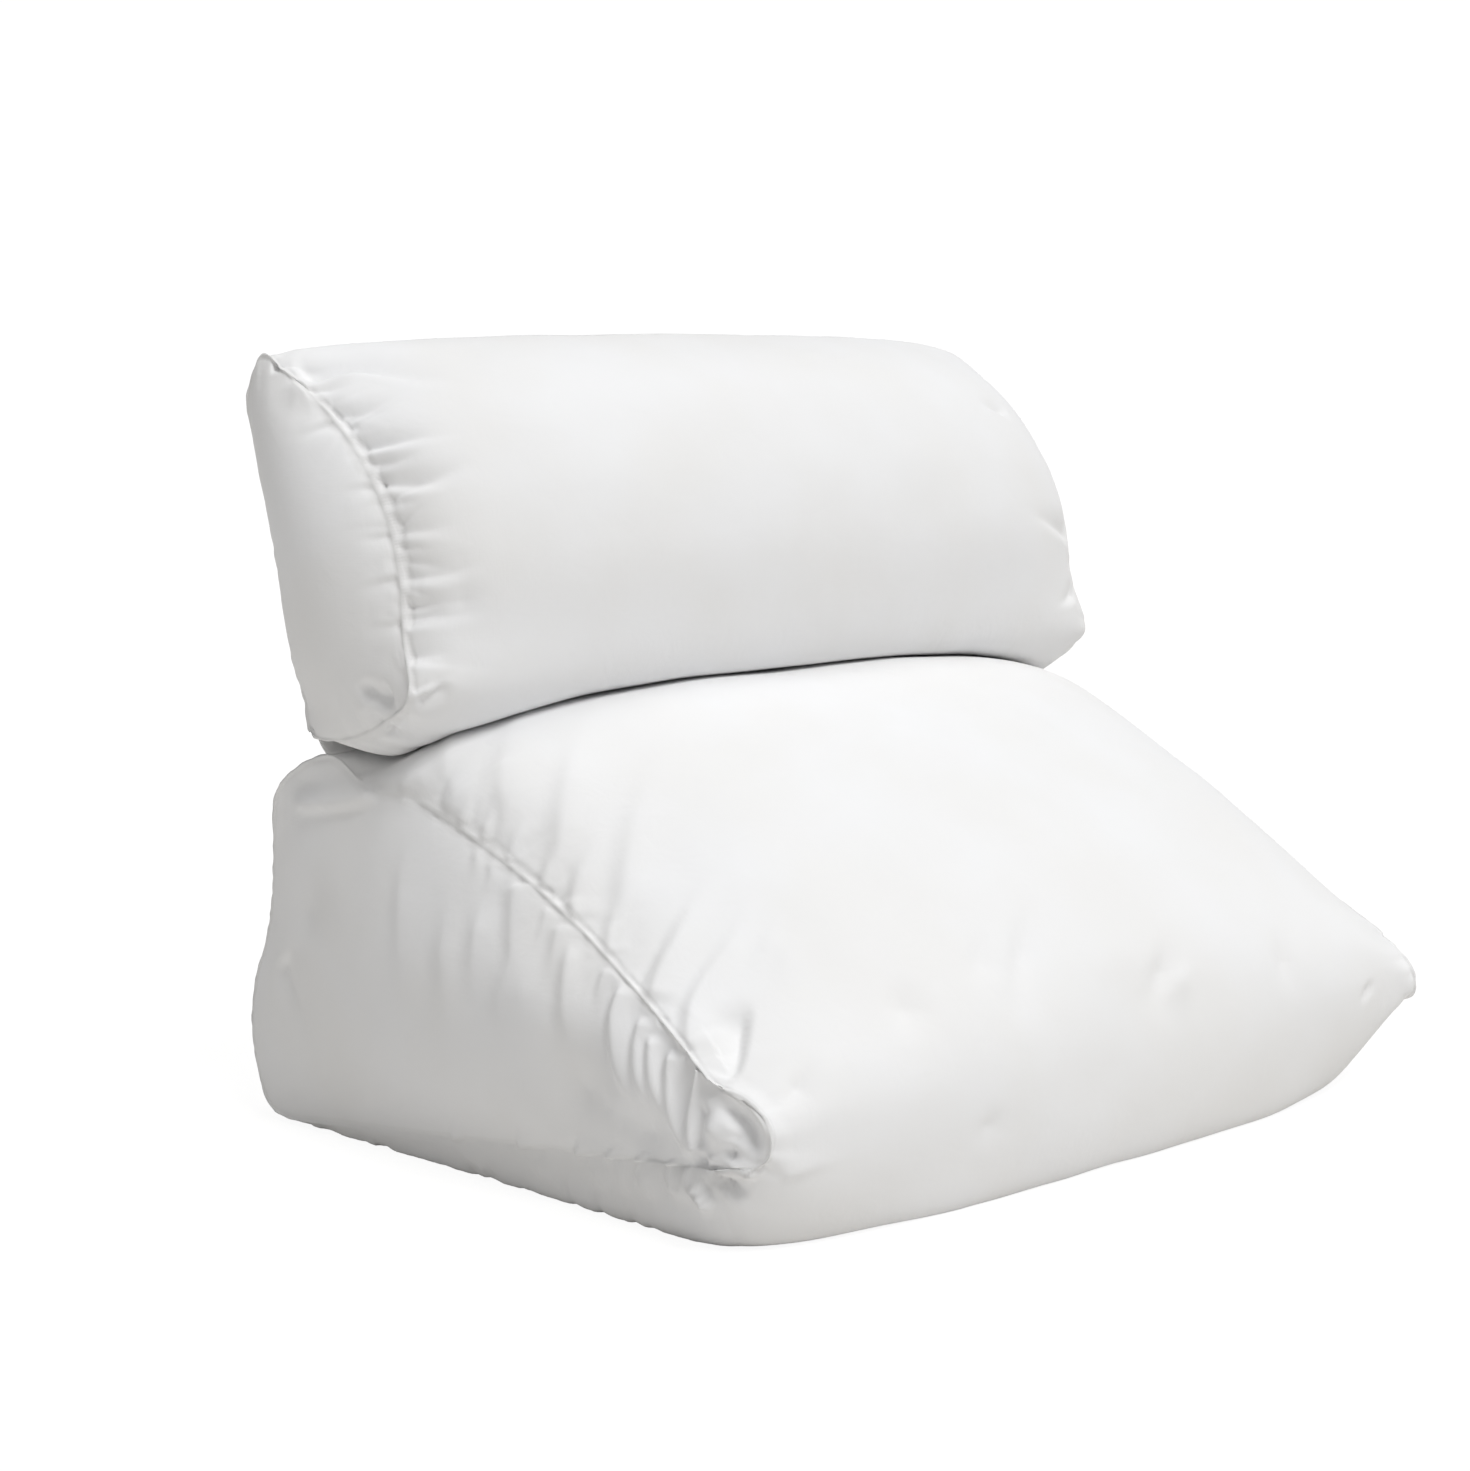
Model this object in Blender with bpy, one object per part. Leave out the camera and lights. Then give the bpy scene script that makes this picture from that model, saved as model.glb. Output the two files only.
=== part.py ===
"""Reading wedge: a fibre-filled wedge cushion with a smaller bolster hinged to its top back edge.

+X runs along the width, -Y is the front and +Z is up. The origin is on the floor, under the
middle of the whole cushion. Each cushion is one filled solid: a single panel wraps round its
section, and a gusset closes each end. All lengths are in metres.
"""

import math

import bmesh
import bpy
import numpy as np
from mathutils import Vector
from mathutils.bvhtree import BVHTree

# Driving sizes
SEAM_WIDTH = 0.70  # between the two end seams, where the cover's corners reach furthest
# How far an end seam pulls in between its corners, on each side of the section
WEDGE_DRAWN_IN = (0.005, 0.007, 0.017, 0.012)
BOLSTER_DRAWN_IN = (0.006, 0.007, 0.004, 0.014)
WEDGE_GUSSET_BULGE = 0.042
BOLSTER_GUSSET_BULGE = 0.036
RIGHT_NOSE_LIFT = 2.3  # how much more slowly the underside drops from the nose's right corner
WELT = 0.0016  # height of the seam allowance under the cloth, along each end seam
STRIP_THICKNESS = 0.002
STRIP_GAP = 0.0010  # between the hinge strip and each cushion
SEAT_GAP = 0.0012  # between the bolster and the crown that carries it
FLOOR_EASE = 0.010  # height over which the cloth bends onto the floor

# Distance of each ring of the wrapping panel from its end seam, as far as the middle
RING_DISTANCES = (0.0, 0.006, 0.016, 0.030, 0.050, 0.080, 0.125, 0.185, 0.262, SEAM_WIDTH / 2)

# Columns round the section, on each of its two long sides and each of its two short ones
WEDGE_LONG, WEDGE_SHORT = 48, 14
BOLSTER_LONG, BOLSTER_SHORT = 44, 12

# Stations round the wedge's section, from under the nose to the back, up, and down the slope.
# The seam's (y, z) is at the gusset and the crown's at mid-width, where a z below 0 is pressed
# flat by the floor. A low rise makes the panel climb steeply from its seam.
# corner   seam y  seam z  crown y  crown z  rise
WEDGE_STATIONS = (
    (True, -0.224, 0.056, -0.238, -0.040, 0.50),
    (False, -0.170, 0.049, -0.170, -0.140, 0.50),
    (False, -0.060, 0.036, -0.060, -0.150, 0.50),
    (False, 0.060, 0.021, 0.060, -0.120, 0.50),
    (False, 0.165, 0.010, 0.170, -0.080, 0.50),
    (True, 0.244, 0.006, 0.254, -0.020, 0.70),
    (False, 0.273, 0.050, 0.283, 0.055, 0.75),
    (False, 0.272, 0.095, 0.290, 0.105, 0.70),
    (False, 0.252, 0.140, 0.286, 0.155, 0.70),
    (False, 0.243, 0.190, 0.270, 0.205, 0.70),
    (True, 0.233, 0.240, 0.236, 0.252, 0.80),
    (False, 0.178, 0.270, 0.182, 0.272, 0.80),
    (False, 0.141, 0.249, 0.146, 0.280, 0.45),
    (False, 0.100, 0.249, 0.098, 0.306, 0.42),
    (False, 0.030, 0.226, 0.020, 0.308, 0.60),
    (False, -0.060, 0.190, -0.080, 0.266, 0.75),
    (False, -0.140, 0.149, -0.168, 0.211, 0.80),
    (True, -0.212, 0.109, -0.244, 0.138, 0.85),
    (False, -0.250, 0.088, -0.270, 0.090, 0.95),
    (False, -0.252, 0.066, -0.266, 0.034, 0.85),
)

# The same for the bolster, from its front corner under it to the hinge, up its back, over its
# narrow top and down its front.
BOLSTER_STATIONS = (
    (True, 0.080, 0.317, 0.050, 0.316, 0.55),
    (False, 0.102, 0.303, 0.086, 0.274, 0.45),
    (False, 0.147, 0.284, 0.140, 0.254, 0.45),
    (True, 0.190, 0.282, 0.191, 0.290, 0.60),
    (False, 0.199, 0.304, 0.214, 0.306, 0.65),
    (False, 0.217, 0.334, 0.238, 0.336, 0.65),
    (False, 0.229, 0.378, 0.268, 0.385, 0.60),
    (False, 0.238, 0.425, 0.281, 0.440, 0.60),
    (False, 0.251, 0.468, 0.279, 0.490, 0.60),
    (True, 0.259, 0.514, 0.260, 0.528, 0.75),
    (False, 0.246, 0.543, 0.218, 0.556, 0.85),
    (True, 0.221, 0.536, 0.166, 0.555, 0.80),
    (False, 0.160, 0.491, 0.092, 0.524, 0.72),
    (False, 0.122, 0.444, 0.052, 0.475, 0.62),
    (False, 0.103, 0.401, 0.033, 0.418, 0.60),
    (False, 0.093, 0.355, 0.034, 0.365, 0.65),
)

# Folds in the wrapping panel, each a furrow that runs away from an end seam. side is 0 to 3,
# counted from the first station, and at is the share of that side. from and long are how far
# from the seam it starts and ends. A negative deep is a ridge.
# side   at     deep    wide    from    long    lean
WEDGE_FOLDS = (
    (2, 0.34, 0.0040, 0.010, 0.000, 0.120, -0.20),
    (2, 0.46, 0.0050, 0.010, 0.000, 0.120, -0.15),
    (2, 0.57, 0.0045, 0.009, 0.000, 0.100, -0.15),
    (2, 0.66, 0.0060, 0.009, 0.000, 0.110, -0.25),
    (2, 0.74, 0.0055, 0.008, 0.000, 0.080, -0.35),
    (2, 0.81, 0.0060, 0.008, 0.000, 0.070, -0.35),
    (2, 0.86, 0.0110, 0.010, 0.012, 0.070, -0.60),
    (2, 0.93, -0.0060, 0.009, 0.000, 0.060, -0.30),
    (3, 0.25, 0.0080, 0.010, 0.000, 0.060, 0.10),
    (3, 0.60, -0.0060, 0.009, 0.000, 0.050, 0.10),
    (3, 0.90, 0.0080, 0.010, 0.000, 0.060, 0.20),
    (0, 0.08, 0.0060, 0.009, 0.000, 0.050, 0.10),
    (0, 0.17, 0.0050, 0.009, 0.000, 0.050, 0.10),
    (0, 0.28, 0.0040, 0.009, 0.000, 0.040, 0.10),
    (1, 0.50, 0.0070, 0.012, 0.000, 0.110, 0.00),
)
BOLSTER_FOLDS = (
    (2, 0.45, 0.0040, 0.010, 0.000, 0.080, 0.10),
    (2, 0.85, 0.0050, 0.012, 0.000, 0.120, 0.30),
    (3, 0.10, 0.0080, 0.014, 0.000, 0.170, 0.30),
    (3, 0.21, -0.0040, 0.009, 0.000, 0.130, 0.15),
    (3, 0.29, 0.0060, 0.010, 0.000, 0.110, 0.10),
    (3, 0.39, 0.0050, 0.008, 0.000, 0.090, 0.05),
    (3, 0.47, 0.0060, 0.009, 0.000, 0.110, 0.00),
    (3, 0.55, 0.0050, 0.008, 0.000, 0.080, 0.00),
    (3, 0.63, 0.0050, 0.008, 0.000, 0.070, -0.05),
    (3, 0.71, 0.0060, 0.009, 0.000, 0.100, 0.10),
    (3, 0.80, 0.0045, 0.008, 0.000, 0.060, 0.00),
    (3, 0.90, 0.0050, 0.008, 0.000, 0.060, 0.00),
    (3, 0.985, 0.0080, 0.010, 0.000, 0.060, 0.00),
)

# Folds that cross a gusset. at is the share of its length, from the nose or front corner side
# to the back, and from and to are shares of its height.
# at     deep    wide   lean    from   to
WEDGE_GUSSET_FOLDS = (
    (0.09, 0.0040, 0.030, 0.02, 0.00, 1.00),
    (0.155, 0.0050, 0.022, 0.03, 0.10, 1.00),
    (0.225, 0.0055, 0.022, 0.03, 0.15, 1.00),
    (0.295, 0.0050, 0.022, 0.04, 0.20, 1.00),
    (0.375, 0.0045, 0.030, 0.05, 0.30, 1.00),
    (0.48, 0.0035, 0.040, 0.06, 0.45, 1.00),
    (0.885, 0.0090, 0.050, 0.10, 0.00, 0.60),
)
BOLSTER_GUSSET_FOLDS = (
    (0.30, 0.0030, 0.060, 0.00, 0.55, 1.00),
    (0.62, 0.0030, 0.060, 0.00, 0.50, 1.00),
)

# Colour, roughness and metallic value of the cloth
COVER_FINISH = ((0.87, 0.87, 0.87, 1.0), 0.75, 0.0)
HINGE_FINISH = ((0.84, 0.84, 0.83, 1.0), 0.80, 0.0)


def cloth(name, finish):
    """A plain cloth material."""
    colour, roughness, metallic = finish
    made = bpy.data.materials.new(name)
    made.use_nodes = True
    shader = made.node_tree.nodes["Principled BSDF"]
    shader.inputs["Base Color"].default_value = colour
    shader.inputs["Roughness"].default_value = roughness
    shader.inputs["Metallic"].default_value = metallic
    return made


def smooth_loop(stations, per_span=24):
    """A closed curve through the stations' numbers, and the place of each station on it."""
    rows = np.array([row[1:] for row in stations])
    gaps = np.linalg.norm(np.roll(rows, -1, axis=0)[:, :2] - rows[:, :2], axis=1)
    ahead, behind = np.roll(rows, -1, axis=0), np.roll(rows, 1, axis=0)
    slopes = (ahead - behind) / (gaps + np.roll(gaps, 1))[:, None]
    t = np.linspace(0.0, 1.0, per_span, endpoint=False)[None, :, None]
    start, end = rows[:, None, :], ahead[:, None, :]
    out = (slopes * gaps[:, None])[:, None, :]
    into = (np.roll(slopes, -1, axis=0) * gaps[:, None])[:, None, :]
    curve = (
        (2 * t**3 - 3 * t**2 + 1) * start
        + (t**3 - 2 * t**2 + t) * out
        + (3 * t**2 - 2 * t**3) * end
        + (t**3 - t**2) * into
    )
    return curve.reshape(-1, rows.shape[1]), [i * per_span for i in range(len(rows))]


def section_columns(stations, long_steps, short_steps):
    """Columns round the section as rows of seam (y, z), crown (y, z) and rise, evenly spaced
    along the seam on each of the four sides, with each column's side and share of that side."""
    curve, places = smooth_loop(stations)
    corners = [place for place, row in zip(places, stations) if row[0]]
    columns, sides, shares = [], [], []
    for side, steps in enumerate(side_steps(stations, long_steps, short_steps)):
        first = corners[side]
        last = corners[(side + 1) % 4]
        if last <= first:
            last += len(curve)
        stretch = curve[np.arange(first, last + 1) % len(curve)]
        run = np.linalg.norm(np.diff(stretch[:, :2], axis=0), axis=1)
        run = np.concatenate([[0.0], np.cumsum(run)])
        at = np.linspace(0.0, run[-1], steps, endpoint=False)
        columns.append(np.stack([np.interp(at, run, number) for number in stretch.T], axis=1))
        sides += [side] * steps
        shares += list(at / run[-1])
    return np.concatenate(columns), np.array(sides), np.array(shares)


def side_steps(stations, long_steps, short_steps):
    """Columns on each side. The longer pair of sides, which face each other, gets long_steps."""
    corners = [np.array(row[1:3]) for row in stations if row[0]]
    first_is_long = np.linalg.norm(corners[1] - corners[0]) > np.linalg.norm(corners[2] - corners[1])
    pair = (long_steps, short_steps) if first_is_long else (short_steps, long_steps)
    return pair * 2


def crown_at(distance, rise):
    """Share of the full crown that the wrapping panel has at this distance from its seam."""
    share = distance / (SEAM_WIDTH / 2)
    return (1.0 - (1.0 - share) ** 3.0) ** rise


def fold_relief(folds, side, share, side_length, distance):
    """How far the folds push the wrapping panel out, or in if negative, at one point."""
    total = 0.0
    for fold_side, at, deep, wide, start, long, lean in folds:
        away = (side - fold_side) * side_length + (share - at) * side_length - lean * distance
        if fold_side == 3 and side == 0:
            away = share * side_length + (1.0 - at) * side_length - lean * distance
        if distance >= long or abs(away) > 4 * wide:
            continue
        reach = distance / long
        spread = wide * (1.0 + 1.2 * reach)
        onset = 1.0 - math.exp(-distance / 0.005)
        if start > 0.0:
            onset = min(1.0, (distance / start) ** 3)
        strength = (1.0 - reach) ** 2 * onset
        total -= deep * strength * math.exp(-((away / spread) ** 2))
    return total


def gusset_relief(folds, along, up):
    """The same for a gusset, by shares of its length and height."""
    total = 0.0
    for at, deep, wide, lean, low, high in folds:
        if not low <= up <= high:
            continue
        away = along - at - lean * (1.0 - up)
        taper = min(1.0, (up - low) / 0.25) * min(1.0, (high - up) / 0.25)
        total -= deep * taper * math.exp(-((away / wide) ** 2))
    return total


class Cushion:
    """One filled cushion, built as rings of points along X with a gusset grid at each end."""

    def __init__(self, stations, steps, drawn_in, bulge, folds, gusset_folds, right_lift=1.0):
        self.columns, self.sides, self.shares = section_columns(stations, *steps)
        self.steps = side_steps(stations, *steps)
        self.drawn_in, self.bulge, self.right_lift = drawn_in, bulge, right_lift
        self.folds, self.gusset_folds = folds, gusset_folds
        seam = self.columns[:, :2]
        hops = np.linalg.norm(np.roll(seam, -1, axis=0) - seam, axis=1)
        self.side_lengths = [hops[self.sides == side].sum() for side in range(4)]
        self.bm = bmesh.new()
        self.relief = {}
        self.rings = []

    def ring_points(self, distance, end):
        """Points round the section at this distance from the end seam; end is -1 or 1."""
        seam, crown, rise = self.columns[:, :2], self.columns[:, 2:4], self.columns[:, 4]
        if end > 0:
            under, nose = self.sides == 0, self.sides == 3
            near_corner = np.where(under, (1.0 - self.shares) ** 2, np.where(nose, self.shares**2, 0.0))
            rise = rise * (1.0 + (self.right_lift - 1.0) * near_corner)
        share = crown_at(distance, rise)[:, None]
        yz = seam + (crown - seam) * share
        pull = np.array(self.drawn_in)[self.sides] * np.sin(math.pi * self.shares) ** 0.8
        left = 1.0 - distance / (SEAM_WIDTH / 2)
        x = end * (SEAM_WIDTH / 2 * left - pull * left**4)
        return np.column_stack([x, yz])

    def add_ring(self, distance, end):
        points = self.ring_points(distance, end)
        ring = [self.bm.verts.new(point) for point in points]
        for column, vert in enumerate(ring):
            side, share = self.sides[column], self.shares[column]
            if distance == 0.0:
                self.relief[vert] = WELT
                continue
            length = self.side_lengths[side]
            self.relief[vert] = fold_relief(self.folds, side, share, length, distance)
        self.rings.append(ring)

    def wrap(self):
        """The panel that runs round the section, from one end seam to the other."""
        for distance in RING_DISTANCES:
            self.add_ring(distance, -1)
        for distance in reversed(RING_DISTANCES[:-1]):
            self.add_ring(distance, 1)
        for ring, following in zip(self.rings, self.rings[1:]):
            for a, b, c, d in zip(ring, ring[1:] + ring[:1], following[1:] + following[:1], following):
                self.bm.faces.new((a, b, c, d))

    def gusset(self, ring, end):
        """The end panel, a grid stretched over the seam's four sides and blown out a little."""
        across, up = self.steps[0], self.steps[1]
        count = len(ring)

        def edge(i, j):
            if j == 0:
                return ring[i]
            if i == across:
                return ring[across + j]
            if j == up:
                return ring[across + up + across - i]
            return ring[(2 * across + up + up - j) % count]

        grid = {(i, j): edge(i, j) for i in range(across + 1) for j in (0, up)}
        grid |= {(i, j): edge(i, j) for i in (0, across) for j in range(up + 1)}
        at = {key: np.array(vert.co) for key, vert in grid.items()}
        heights = [np.linalg.norm(at[i, up] - at[i, 0]) for i in range(across + 1)]
        for i in range(1, across):
            for j in range(1, up):
                s, r = i / across, j / up
                flat = (
                    (1 - r) * at[i, 0] + r * at[i, up] + (1 - s) * at[0, j] + s * at[across, j]
                    - (1 - s) * (1 - r) * at[0, 0] - s * (1 - r) * at[across, 0]
                    - (1 - s) * r * at[0, up] - s * r * at[across, up]
                )
                full = (math.sin(math.pi * s) * math.sin(math.pi * r)) ** 0.55
                flat[0] += end * self.bulge * full * (heights[i] / max(heights)) ** 0.6
                vert = self.bm.verts.new(flat)
                grid[i, j] = vert
                along, height = (s, r) if across > up else (r, s)
                self.relief[vert] = gusset_relief(self.gusset_folds, along, height)
        for i in range(across):
            for j in range(up):
                self.bm.faces.new((grid[i, j], grid[i + 1, j], grid[i + 1, j + 1], grid[i, j + 1]))

    def fold(self):
        """Pushes each point out or in along the surface's normal, by the folds and the welt."""
        bmesh.ops.recalc_face_normals(self.bm, faces=self.bm.faces)
        self.bm.normal_update()
        normals = {vert: vert.normal.copy() for vert in self.bm.verts}
        for vert, amount in self.relief.items():
            vert.co += normals[vert] * amount

    def build(self):
        self.wrap()
        self.gusset(self.rings[0], -1)
        self.gusset(self.rings[-1], 1)
        self.fold()
        return self

    def press_on_floor(self):
        """The underside lies flat on the floor, and the cloth round it meets the floor softly."""
        for vert in self.bm.verts:
            height = vert.co.z
            if height < FLOOR_EASE:
                vert.co.z = max(height + FLOOR_EASE, 0.0) ** 2 / (4 * FLOOR_EASE)

    def rest_on(self, carrier):
        """Whatever would sink into the carrier is pressed up to follow its surface."""
        surface = BVHTree.FromBMesh(carrier.bm)
        above = 1.0
        for vert in self.bm.verts:
            hit, _, _, _ = surface.ray_cast(Vector((vert.co.x, vert.co.y, above)), Vector((0, 0, -1)))
            if hit is not None:
                vert.co.z = max(vert.co.z, hit.z + SEAT_GAP)

    def line(self, column):
        """The points of one column, from the left seam to the right one."""
        return [ring[column].co.copy() for ring in self.rings]

    def nearest_column(self, y, z):
        seam = self.columns[:, :2]
        return int(np.argmin(np.linalg.norm(seam - np.array((y, z)), axis=1)))

    def as_object(self, name, material):
        bmesh.ops.triangulate(self.bm, faces=self.bm.faces, quad_method="SHORT_EDGE")
        mesh = bpy.data.meshes.new(name)
        self.bm.to_mesh(mesh)
        mesh.materials.append(material)
        mesh.shade_smooth()
        made = bpy.data.objects.new(name, mesh)
        bpy.context.scene.collection.objects.link(made)
        return made


def hinge_strip(wedge, bolster, material):
    """The cloth that hangs the bolster from the wedge: a thin strip, upright between the ridge
    along the wedge's top back edge and the lower back corner of the bolster."""
    ridge = wedge.line(wedge.nearest_column(*WEDGE_STATIONS[11][1:3]))
    corner = bolster.line(bolster.nearest_column(*BOLSTER_STATIONS[3][1:3]))
    half = STRIP_THICKNESS / 2
    bm = bmesh.new()
    loops = []
    for low, high in zip(ridge[1:-1], corner[1:-1]):
        low, high = low + Vector((0, 0, STRIP_GAP)), high - Vector((0, 0, STRIP_GAP))
        middle = (low + high) / 2 + Vector((0, 0.002, 0))
        loop = [point - Vector((0, half, 0)) for point in (low, middle, high)]
        loop += [point + Vector((0, half, 0)) for point in (high, middle, low)]
        loops.append([bm.verts.new(point) for point in loop])
    for loop, following in zip(loops, loops[1:]):
        for a, b, c, d in zip(loop, loop[1:] + loop[:1], following[1:] + following[:1], following):
            bm.faces.new((a, b, c, d))
    bm.faces.new(loops[0])
    bm.faces.new(loops[-1])
    bmesh.ops.recalc_face_normals(bm, faces=bm.faces)
    mesh = bpy.data.meshes.new("hinge_strip")
    bm.to_mesh(mesh)
    bm.free()
    mesh.materials.append(material)
    made = bpy.data.objects.new("hinge_strip", mesh)
    bpy.context.scene.collection.objects.link(made)
    return made


def clear_scene():
    for leftover in list(bpy.data.objects):
        bpy.data.objects.remove(leftover)


def centre(objects):
    """Moves the objects so that the origin lies under the middle of them all."""
    points = np.array([vert.co for made in objects for vert in made.data.vertices])
    middle = (points.min(axis=0) + points.max(axis=0)) / 2
    shift = Vector((-middle[0], -middle[1], 0.0))
    for made in objects:
        for vert in made.data.vertices:
            vert.co += shift
    return shift


def main():
    clear_scene()
    cover = cloth("cover_cloth", COVER_FINISH)
    wedge = Cushion(
        WEDGE_STATIONS,
        (WEDGE_LONG, WEDGE_SHORT),
        WEDGE_DRAWN_IN,
        WEDGE_GUSSET_BULGE,
        WEDGE_FOLDS,
        WEDGE_GUSSET_FOLDS,
        RIGHT_NOSE_LIFT,
    ).build()
    wedge.press_on_floor()
    bolster = Cushion(
        BOLSTER_STATIONS,
        (BOLSTER_LONG, BOLSTER_SHORT),
        BOLSTER_DRAWN_IN,
        BOLSTER_GUSSET_BULGE,
        BOLSTER_FOLDS,
        BOLSTER_GUSSET_FOLDS,
    ).build()
    bolster.rest_on(wedge)
    strip = hinge_strip(wedge, bolster, cloth("hinge_cloth", HINGE_FINISH))
    pieces = [wedge.as_object("wedge_cushion", cover), bolster.as_object("bolster_cushion", cover)]
    return centre([*pieces, strip])


main()
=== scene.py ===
"""Reading wedge with a head bolster: two fibre-filled cushions in white cotton, sewn together
along a strip of the same cloth, standing on a white studio floor."""

import math

import bpy
import numpy as np
from mathutils import Matrix, Vector, noise
from mathutils.bvhtree import BVHTree


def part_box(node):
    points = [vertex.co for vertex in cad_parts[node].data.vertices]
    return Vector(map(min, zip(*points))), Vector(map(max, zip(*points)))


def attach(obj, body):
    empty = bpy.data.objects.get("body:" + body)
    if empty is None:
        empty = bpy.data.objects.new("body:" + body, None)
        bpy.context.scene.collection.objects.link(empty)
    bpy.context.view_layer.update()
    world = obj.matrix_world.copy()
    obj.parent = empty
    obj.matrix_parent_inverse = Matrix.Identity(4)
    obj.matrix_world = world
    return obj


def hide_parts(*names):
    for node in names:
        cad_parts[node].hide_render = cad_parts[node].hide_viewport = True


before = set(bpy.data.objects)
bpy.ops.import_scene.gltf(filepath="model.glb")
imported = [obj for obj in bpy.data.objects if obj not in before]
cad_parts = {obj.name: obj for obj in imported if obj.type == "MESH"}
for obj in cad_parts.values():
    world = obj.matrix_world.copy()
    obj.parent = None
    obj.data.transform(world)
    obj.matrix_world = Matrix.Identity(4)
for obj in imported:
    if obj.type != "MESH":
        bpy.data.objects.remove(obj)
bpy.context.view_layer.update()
bpy.ops.object.select_all(action="DESELECT")


# The wedge cushion: its cotton cover is one panel that wraps round the section, with a gusset
# sewn into each end. It is cut and sewn flat, turned, and stuffed with loose fibre, so the
# cloth is blown out between the seams and gathers where it meets them.

# Section at the end seam (y, z) and at mid-width (y, z), with how slowly the panel climbs from
# one to the other. The four sides start at the rows marked True: underside, back, slope, nose.
WEDGE_SECTION = (
    (True, -0.224, 0.056, -0.238, -0.040, 0.50),
    (False, -0.170, 0.049, -0.170, -0.140, 0.50),
    (False, -0.060, 0.036, -0.060, -0.150, 0.50),
    (False, 0.060, 0.021, 0.060, -0.120, 0.50),
    (False, 0.165, 0.010, 0.170, -0.080, 0.50),
    (True, 0.244, 0.006, 0.254, -0.020, 0.70),
    (False, 0.273, 0.050, 0.283, 0.055, 0.75),
    (False, 0.272, 0.095, 0.290, 0.105, 0.70),
    (False, 0.252, 0.140, 0.286, 0.155, 0.70),
    (False, 0.243, 0.190, 0.270, 0.205, 0.70),
    (True, 0.233, 0.240, 0.236, 0.252, 0.80),
    (False, 0.178, 0.270, 0.182, 0.272, 0.80),
    (False, 0.141, 0.249, 0.146, 0.280, 0.45),
    (False, 0.100, 0.248, 0.098, 0.306, 0.42),
    (False, 0.030, 0.226, 0.020, 0.308, 0.60),
    (False, -0.060, 0.190, -0.080, 0.266, 0.75),
    (False, -0.140, 0.149, -0.168, 0.211, 0.80),
    (True, -0.212, 0.109, -0.244, 0.138, 0.85),
    (False, -0.250, 0.088, -0.270, 0.090, 0.95),
    (False, -0.252, 0.066, -0.266, 0.034, 0.85),
)
HALF_WIDTH = 0.35
# The rows of points lie closest along the seams and widen towards mid-width.
SEAM_ROW, ROW_GROWTH, WIDEST_ROW = 0.0028, 1.3, 0.027
# Up to this height the cloth eases down onto the floor.
FLOOR_EASE = 0.010


def section_curve(stations, steps, crowding):
    """The section as rows of seam (y, z), crown (y, z) and rise along each of its four sides,
    with each row's side and share of that side. Crowding brings the rows of the underside and
    the slope closer together near the front tip, where the folds are small."""
    rows = np.array([row[1:] for row in stations])
    ahead, behind = np.roll(rows, -1, axis=0), np.roll(rows, 1, axis=0)
    gaps = np.linalg.norm(ahead[:, :2] - rows[:, :2], axis=1)
    slopes = (ahead - behind) / (gaps + np.roll(gaps, 1))[:, None]
    per_span = 24
    t = np.linspace(0.0, 1.0, per_span, endpoint=False)[None, :, None]
    out = (slopes * gaps[:, None])[:, None, :]
    into = (np.roll(slopes, -1, axis=0) * gaps[:, None])[:, None, :]
    curve = (
        (2 * t**3 - 3 * t**2 + 1) * rows[:, None, :]
        + (t**3 - 2 * t**2 + t) * out
        + (3 * t**2 - 2 * t**3) * ahead[:, None, :]
        + (t**3 - t**2) * into
    ).reshape(-1, rows.shape[1])
    corners = [per_span * i for i, row in enumerate(stations) if row[0]]
    found, sides, shares = [], [], []
    for side, count in enumerate(steps):
        first, last = corners[side], corners[(side + 1) % 4]
        last += len(curve) if last <= first else 0
        stretch = curve[np.arange(first, last + 1) % len(curve)]
        run = np.linalg.norm(np.diff(stretch[:, :2], axis=0), axis=1)
        run = np.concatenate([[0.0], np.cumsum(run)])
        t = np.linspace(0.0, 1.0, count, endpoint=False)
        t = t + (-crowding, 0.0, crowding, 0.0)[side] * t * (1 - t)
        found.append(np.stack([np.interp(t * run[-1], run, row) for row in stretch.T], axis=1))
        sides += [side] * count
        shares += list(t)
    return np.concatenate(found), np.array(sides), np.array(shares)


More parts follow.
